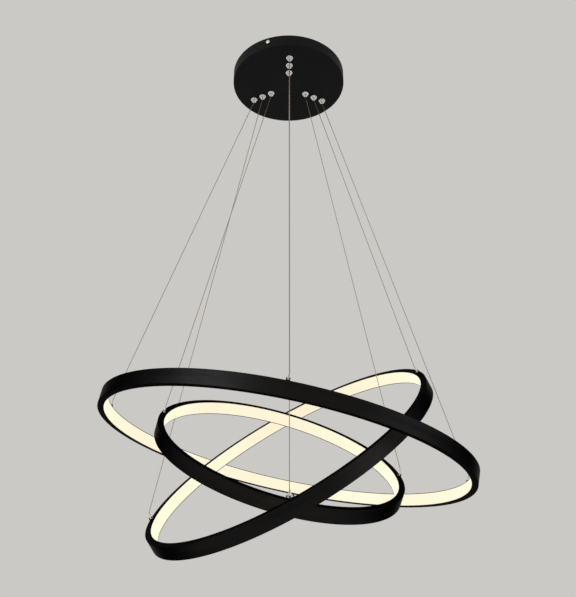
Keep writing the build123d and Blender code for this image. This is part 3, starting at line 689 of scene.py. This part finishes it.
def sleeve_surface(centre):
    """A release sleeve on its axis, whose head's rim has shallow grooves.

    In the head's rim the radius is less by depth (1 - cos (n a)) / 2 at the angle a, for n grooves.
    """
    sizes = bpy.context.scene.gripper_sizes
    bore, shank, head = sizes.sleeve_bore / 2, sizes.sleeve_diameter / 2, sizes.head_diameter / 2
    low, high = sizes.sleeve_bottom, sizes.sleeve_top
    step = low + sizes.head_height
    edge = 0.0003
    outline = rounded(
        [(bore, low), (head, low), (head, step), (shank, step), (shank, high), (bore, high)], edge
    )
    grooves, per_groove = 24, 6
    angles = np.linspace(0, 2 * pi, grooves * per_groove + 1)
    rim = np.clip((outline[:, 0] - head + 2 * edge) / edge, 0, 1)
    swell = -sizes.knurl_depth * rim * (1 - np.cos(grooves * angles[:-1, None])) / 2
    points = centre + carried_round(outline, angles[:-1], swell)
    along, across = angles * shank, outline_lengths(outline, True)
    return grid(points, along, across, rows_closed=True, columns_closed=True)


class CHANDELIER_OT_grippers(bpy.types.Operator):
    """Builds the nine wire grippers and their release sleeves"""

    bl_idname = "chandelier.grippers"
    bl_label = "Wire Grippers"

    def execute(self, context):
        material = chrome_finish()
        bodies = [gripper_surface(gripper_point(ring, side, 0.0)) for ring in RINGS for side in SIDES]
        piece = add_piece("gripper_housings", bodies, material)
        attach(piece, "canopy")
        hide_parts("gripper_bodies")
        for ring in RINGS:
            for side in SIDES:
                sleeve = sleeve_surface(gripper_point(ring, side, 0.0))
                piece = add_piece(f"{ring}_{side}_sleeve", [sleeve], material)
                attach(piece, f"{ring}_{side}_release")
                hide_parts(f"{ring}_{side}_release")
        return {"FINISHED"}


# ---- finishes -------------------------------------------------------------------------------------
def add_node(tree, kind, inputs=None, **settings):
    """A node with its settings, whose inputs are numbers or other nodes' outputs."""
    made = tree.nodes.new(kind)
    for key, value in settings.items():
        setattr(made, key, value)
    for key, value in (inputs or {}).items():
        if isinstance(value, bpy.types.NodeSocket):
            tree.links.new(value, made.inputs[key])
        else:
            made.inputs[key].default_value = value
    return made


def ramp(tree, factor, *stops):
    """A colour that goes through the stops, each a position and a linear colour, with the factor."""
    node = add_node(tree, "ShaderNodeValToRGB", {"Fac": factor})
    elements = node.color_ramp.elements
    while len(elements) < len(stops):
        elements.new(1.0)
    for element, (position, value) in zip(elements, stops):
        element.position, element.color = position, (*value, 1.0)
    return node.outputs["Color"]


def ranged(tree, value, low, high, to_low, to_high):
    """The value, moved from one range to another and kept within it."""
    node = add_node(
        tree, "ShaderNodeMapRange",
        {"Value": value, "From Min": low, "From Max": high, "To Min": to_low, "To Max": to_high},
    )
    return node.outputs["Result"]


def calculated(tree, operation, *values):
    """The output of one Math node."""
    return add_node(
        tree, "ShaderNodeMath", dict(enumerate(values)), operation=operation
    ).outputs[0]


def tinted(colour, factor):
    """The colour times a factor, kept within 0 and 1."""
    return tuple(min(1.0, channel * factor) for channel in colour)


def new_finish(name, **sockets):
    """An empty finish of that name and its shader, with the shader's constant sockets set."""
    old = bpy.data.materials.get(name)
    if old:
        bpy.data.materials.remove(old)
    material = bpy.data.materials.new(name)
    material.use_nodes = True
    shader = material.node_tree.nodes["Principled BSDF"]
    for key, value in sockets.items():
        shader.inputs[key.replace("_", " ")].default_value = value
    return material, material.node_tree, shader


def noise(tree, source, scale, stretch=(1, 1, 1), detail=3.0):
    """Noise on Object coordinates or on the piece's own UV map, stretched along its axes."""
    coordinates = add_node(tree, "ShaderNodeTexCoord").outputs[source]
    mapped = add_node(tree, "ShaderNodeMapping", {"Vector": coordinates, "Scale": stretch})
    node = add_node(
        tree, "ShaderNodeTexNoise",
        {"Vector": mapped.outputs["Vector"], "Scale": scale, "Detail": detail},
    )
    return node.outputs["Fac"]


def bumped(tree, shader, height, depth, strength=1.0):
    """Raises the shader's surface by the height, whose full range is the depth in metres."""
    node = add_node(
        tree, "ShaderNodeBump", {"Height": height, "Distance": depth, "Strength": strength}
    )
    tree.links.new(node.outputs["Normal"], shader.inputs["Normal"])


def grained_finish(name, tones, roughness, cloud_scale, grain_scale, grain_depth, source="Object",
                   stretch=(1, 1, 1), **sockets):
    """A finish whose tone and roughness drift in slow clouds, with a fine grain on its surface."""
    material, tree, shader = new_finish(name, **sockets)
    cloud = noise(tree, source, cloud_scale, stretch)
    grain = noise(tree, source, grain_scale, stretch, 2.0)
    tone = ramp(tree, cloud, (NOISE_LOW, tones[0]), (NOISE_HIGH, tones[1]))
    tree.links.new(tone, shader.inputs["Base Color"])
    rough = ranged(tree, grain, NOISE_LOW, NOISE_HIGH, *roughness)
    tree.links.new(rough, shader.inputs["Roughness"])
    bumped(tree, shader, grain, grain_depth)
    return material


def black_finish(name, **settings):
    """Satin black metal that mirrors little at a grazing angle."""
    base = bpy.context.scene.finish_colours.profile
    return grained_finish(
        name, (tinted(base, 0.8), tinted(base, 1.3)), (0.34, 0.46), grain_depth=0.00001,
        Metallic=1.0, Specular_Tint=(0.3, 0.3, 0.3, 1.0), **settings,
    )


def profile_finish():
    """Satin black with faint lines along the ring, as an extruded channel keeps them."""
    return black_finish(
        "profile_black_finish", cloud_scale=60.0, grain_scale=900.0, source="UV",
        stretch=(0.06, 1.0, 1.0),
    )


def socket_finish():
    """The profiles' satin black on the small anchor sockets."""
    return black_finish("socket_black_finish", cloud_scale=300.0, grain_scale=1500.0)


def diffuser_finish():
    """Opal plastic, lit from behind, whose light drifts slowly between two warm tones."""
    colours = bpy.context.scene.finish_colours
    material, tree, shader = new_finish(
        "diffuser_opal_finish", Roughness=0.4, Emission_Strength=colours.glow_strength
    )
    drift_scale, cloud_scale, grain_scale = 3.5, 260.0, 2200.0
    drift = noise(tree, "Object", drift_scale)
    glow = ramp(tree, drift, (0.40, colours.glow), (0.66, colours.glow_ends))
    tree.links.new(glow, shader.inputs["Emission Color"])
    cloud = noise(tree, "Object", cloud_scale)
    opal = ramp(tree, cloud, (NOISE_LOW, tinted(colours.opal, 0.9)), (NOISE_HIGH, colours.opal))
    tree.links.new(opal, shader.inputs["Base Color"])
    bumped(tree, shader, noise(tree, "Object", grain_scale), 0.00001)
    return material


def chrome_finish():
    """Bright plating with a faint haze."""
    base = bpy.context.scene.finish_colours.chrome
    return grained_finish(
        "bright_chrome_finish", (tinted(base, 0.86), base), (0.10, 0.24),
        cloud_scale=420.0, grain_scale=1600.0, grain_depth=0.000004, Metallic=1.0,
    )


def steel_finish(slot):
    """Zinc plated screws, with lighter and darker patches."""
    return grained_finish(
        f"{slot}_finish", ((0.42, 0.42, 0.41), (0.60, 0.60, 0.58)), (0.22, 0.42),
        cloud_scale=500.0, grain_scale=3000.0, grain_depth=0.000006, Metallic=1.0,
    )


def wire_finish():
    """A twisted steel rope in a clear sleeve, with painted shade: slanting dark lines in the grooves
    between its strands.
    """
    base = bpy.context.scene.finish_colours.wire
    material, tree, shader = new_finish(
        "suspension_wire_finish", Metallic=0.6, Roughness=0.34, Coat_Weight=0.6, Coat_Roughness=0.12
    )
    coordinates = add_node(tree, "ShaderNodeTexCoord").outputs["UV"]
    parts = add_node(tree, "ShaderNodeSeparateXYZ", {"Vector": coordinates})
    lay_length, strands = 0.009, 6
    turned = calculated(tree, "MULTIPLY", parts.outputs["X"], 1 / lay_length)
    twist = calculated(tree, "ADD", turned, parts.outputs["Y"])
    wave = calculated(tree, "SINE", calculated(tree, "MULTIPLY", twist, 2 * pi * strands))
    groove_shade = ranged(tree, wave, -1.0, 1.0, 0.0, 1.0)
    # Painted shade: the tone darkens towards the grooves between the strands, where the bump is low.
    tone = ramp(tree, groove_shade, (0.1, tinted(base, 0.45)), (0.5, base))
    tree.links.new(tone, shader.inputs["Base Color"])
    bumped(tree, shader, wave, 0.00004)
    return material


def canopy_finish():
    """Matt black powder coat, with its orange-peel grain."""
    base = bpy.context.scene.finish_colours.canopy
    return grained_finish(
        "canopy_black_finish", (tinted(base, 0.85), tinted(base, 1.2)), (0.50, 0.66),
        cloud_scale=14.0, grain_scale=1100.0, grain_depth=0.00005, Specular_IOR_Level=0.08,
    )


def plate_finish():
    """Zinc plated sheet with the cells of its spangle, each a little lighter or darker."""
    material, tree, shader = new_finish("plate_steel_finish", Metallic=1.0)
    coordinates = add_node(tree, "ShaderNodeTexCoord").outputs["Object"]
    cells = add_node(tree, "ShaderNodeTexVoronoi", {"Vector": coordinates, "Scale": 120.0})
    value = add_node(tree, "ShaderNodeSeparateColor", {"Color": cells.outputs["Color"]})
    tone = ramp(tree, value.outputs["Red"], (0.0, (0.52, 0.53, 0.55)), (1.0, (0.62, 0.62, 0.62)))
    tree.links.new(tone, shader.inputs["Base Color"])
    rough = ranged(tree, value.outputs["Green"], 0.0, 1.0, 0.28, 0.40)
    tree.links.new(rough, shader.inputs["Roughness"])
    bumped(tree, shader, noise(tree, "Object", 1400.0), 0.00002)
    return material


def board_finish():
    """Green solder mask with darker tracks between fields of copper under it."""
    material, tree, shader = new_finish("board_green_finish", Roughness=0.32, Coat_Weight=0.3)
    coordinates = add_node(tree, "ShaderNodeTexCoord").outputs["Object"]
    fields = add_node(
        tree, "ShaderNodeTexVoronoi", {"Vector": coordinates, "Scale": 260.0},
        distance="MANHATTAN", feature="DISTANCE_TO_EDGE",
    )
    track, mask = (0.010, 0.060, 0.022), (0.025, 0.150, 0.055)
    tone = ramp(tree, fields.outputs["Distance"], (0.04, track), (0.07, mask))
    tree.links.new(tone, shader.inputs["Base Color"])
    bumped(tree, shader, fields.outputs["Distance"], 0.00005, 0.3)
    return material


def plastic_finish(name, base, roughness):
    """Moulded plastic with a fine spark-eroded grain."""
    return grained_finish(
        name, (tinted(base, 0.93), base), roughness,
        cloud_scale=40.0, grain_scale=2600.0, grain_depth=0.00002,
    )


def aluminium_finish():
    """Bare sawn aluminium."""
    return grained_finish(
        "splice_aluminium_finish", ((0.58, 0.59, 0.60), (0.72, 0.73, 0.74)), (0.28, 0.44),
        cloud_scale=200.0, grain_scale=1800.0, grain_depth=0.00001, Metallic=1.0,
    )


def brass_finish():
    """Turned brass, duller in patches."""
    return grained_finish(
        "terminal_brass_finish", ((0.52, 0.36, 0.13), (0.74, 0.55, 0.24)), (0.24, 0.40),
        cloud_scale=600.0, grain_scale=2400.0, grain_depth=0.00001, Metallic=1.0,
    )


class CHANDELIER_OT_finishes(bpy.types.Operator):
    """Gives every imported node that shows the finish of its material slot"""

    bl_idname = "chandelier.finishes"
    bl_label = "Finishes"

    def execute(self, context):
        finishes = {
            "canopy_black": canopy_finish(),
            "plate_steel": plate_finish(),
            "screw_steel": bpy.data.materials["screw_steel_finish"],
            "bright_chrome": bpy.data.materials["bright_chrome_finish"],
            "profile_black": socket_finish(),
            "diffuser_opal": bpy.data.materials["diffuser_opal_finish"],
            "led_board": plastic_finish("led_board_finish", (0.80, 0.79, 0.70), (0.30, 0.45)),
            "splice_aluminium": aluminium_finish(),
            "driver_white": plastic_finish("driver_white_finish", (0.76, 0.76, 0.74), (0.38, 0.52)),
            "board_green": board_finish(),
            "terminal_white": plastic_finish("terminal_white_finish", (0.70, 0.70, 0.66), (0.34, 0.48)),
            "terminal_brass": brass_finish(),
            "suspension_wire": bpy.data.materials["suspension_wire_finish"],
        }
        for node in frame["nodes"].values():
            for place in node.material_slots:
                slot = place.material.name.removesuffix("_finish")
                if slot not in finishes:
                    raise RuntimeError(f"{node.name} has the unknown material slot {slot}")
                place.material = finishes[slot]
        return {"FINISHED"}


# ---- stage ----------------------------------------------------------------------------------------
def seen_directly(tree):
    """1 where a camera sees it, also in a mirror or through glass, and 0 where it only gives light."""
    path = add_node(tree, "ShaderNodeLightPath")
    seen = calculated(tree, "MAXIMUM", path.outputs["Is Camera Ray"], path.outputs["Is Glossy Ray"])
    return calculated(tree, "MAXIMUM", seen, path.outputs["Is Transmission Ray"])


def floor_finish(base, lift):
    """Plain painted floor, a little uneven in tone, and lifted to the backdrop's paleness."""
    material = grained_finish(
        "floor_finish", (tinted(base, 0.97), base), (0.7, 0.8), cloud_scale=0.6, grain_scale=90.0,
        grain_depth=0.0002, Specular_IOR_Level=0.1, Emission_Color=(*base, 1.0),
    )
    tree = material.node_tree
    strength = calculated(tree, "MULTIPLY", seen_directly(tree), lift)
    tree.links.new(strength, tree.nodes["Principled BSDF"].inputs["Emission Strength"])
    return material


def light_world(stage):
    """An even light from all round, which cameras and mirrors see as the plain pale backdrop."""
    world = bpy.data.worlds.new("studio")
    world.use_nodes = True
    tree = world.node_tree
    tree.nodes.clear()
    seen = seen_directly(tree)
    light = add_node(
        tree, "ShaderNodeBackground", {"Color": (1.0, 1.0, 1.0, 1.0), "Strength": stage.ambient}
    )
    backdrop = add_node(
        tree, "ShaderNodeBackground", {"Color": (*stage.backdrop, 1.0), "Strength": 1.0}
    )
    mixed = add_node(
        tree, "ShaderNodeMixShader",
        {0: seen, 1: light.outputs["Background"], 2: backdrop.outputs["Background"]},
    )
    add_node(tree, "ShaderNodeOutputWorld", {"Surface": mixed.outputs["Shader"]})
    bpy.context.scene.world = world


def add_lamp(name, place, power):
    """A square soft lamp at a place, turned to the rings."""
    data = bpy.data.lights.new(name, "AREA")
    data.energy, data.size = power, LAMP_SIZE
    lamp = bpy.data.objects.new(name, data)
    lamp.location = place
    aim = Vector(LAMP_TARGET) - Vector(place)
    lamp.rotation_euler = aim.to_track_quat("-Z", "Y").to_euler()
    bpy.context.scene.collection.objects.link(lamp)


class CHANDELIER_OT_stage(bpy.types.Operator):
    """Sets the floor, the light and the camera at the photograph's angle"""

    bl_idname = "chandelier.stage"
    bl_label = "Stage"

    def execute(self, context):
        stage = context.scene.stage_settings
        angles = np.linspace(0, 2 * pi, FLOOR_STEPS + 1)
        disc = np.array([(0.0, stage.floor_level), (stage.floor_radius, stage.floor_level)])[::-1]
        surface = grid(
            carried_round(disc, angles[:-1]), angles, outline_lengths(disc, False), rows_closed=True
        )
        finish = floor_finish(stage.backdrop, stage.floor_lift)
        floor = add_piece("floor", [surface], finish, merge=True)
        light_world(stage)
        add_lamp("key", KEY_PLACE, stage.key_power)
        add_lamp("fill", FILL_PLACE, stage.fill_power)
        camera = bpy.data.cameras.new("camera")
        camera.lens = stage.focal_length
        view = bpy.data.objects.new("camera", camera)
        view.location = stage.camera_place
        view.rotation_euler = (pi / 2 + stage.camera_pitch, 0, -stage.camera_pan)
        context.scene.collection.objects.link(view)
        context.scene.camera = view
        context.scene.view_settings.view_transform = "Standard"
        return {"FINISHED"}


# ---- sidebar and registration ---------------------------------------------------------------------
SETTINGS = {
    "ring_places": RingPlaces,
    "ring_section": RingSection,
    "wire_sizes": WireSizes,
    "gripper_sizes": GripperSizes,
    "finish_colours": FinishColours,
    "stage_settings": StageSettings,
}
OPERATORS = (
    CHANDELIER_OT_ring_profiles,
    CHANDELIER_OT_diffusers,
    CHANDELIER_OT_seam_screws,
    CHANDELIER_OT_wires,
    CHANDELIER_OT_grippers,
    CHANDELIER_OT_finishes,
    CHANDELIER_OT_stage,
)


class VIEW3D_PT_chandelier(bpy.types.Panel):
    """Sizes, colours and makers of the chandelier's pieces"""

    bl_label = "Chandelier"
    bl_space_type = "VIEW_3D"
    bl_region_type = "UI"
    bl_category = "Chandelier"

    def draw(self, context):
        for name, group in SETTINGS.items():
            box = self.layout.box()
            for key in group.__annotations__:
                box.prop(getattr(context.scene, name), key)
        for operator in OPERATORS:
            self.layout.operator(operator.bl_idname)


def register():
    for group in SETTINGS.values():
        bpy.utils.register_class(group)
    for operator in OPERATORS:
        bpy.utils.register_class(operator)
    bpy.utils.register_class(VIEW3D_PT_chandelier)
    for name, group in SETTINGS.items():
        setattr(bpy.types.Scene, name, PointerProperty(type=group))


def unregister():
    for name in SETTINGS:
        delattr(bpy.types.Scene, name)
    bpy.utils.unregister_class(VIEW3D_PT_chandelier)
    for operator in reversed(OPERATORS):
        bpy.utils.unregister_class(operator)
    for group in reversed(SETTINGS.values()):
        bpy.utils.unregister_class(group)


def main():
    """Builds every piece in order."""
    register()
    bpy.ops.chandelier.ring_profiles()
    bpy.ops.chandelier.diffusers()
    bpy.ops.chandelier.seam_screws()
    bpy.ops.chandelier.wires()
    bpy.ops.chandelier.grippers()
    bpy.ops.chandelier.finishes()
    bpy.ops.chandelier.stage()


if __name__ == "__main__":
    main()
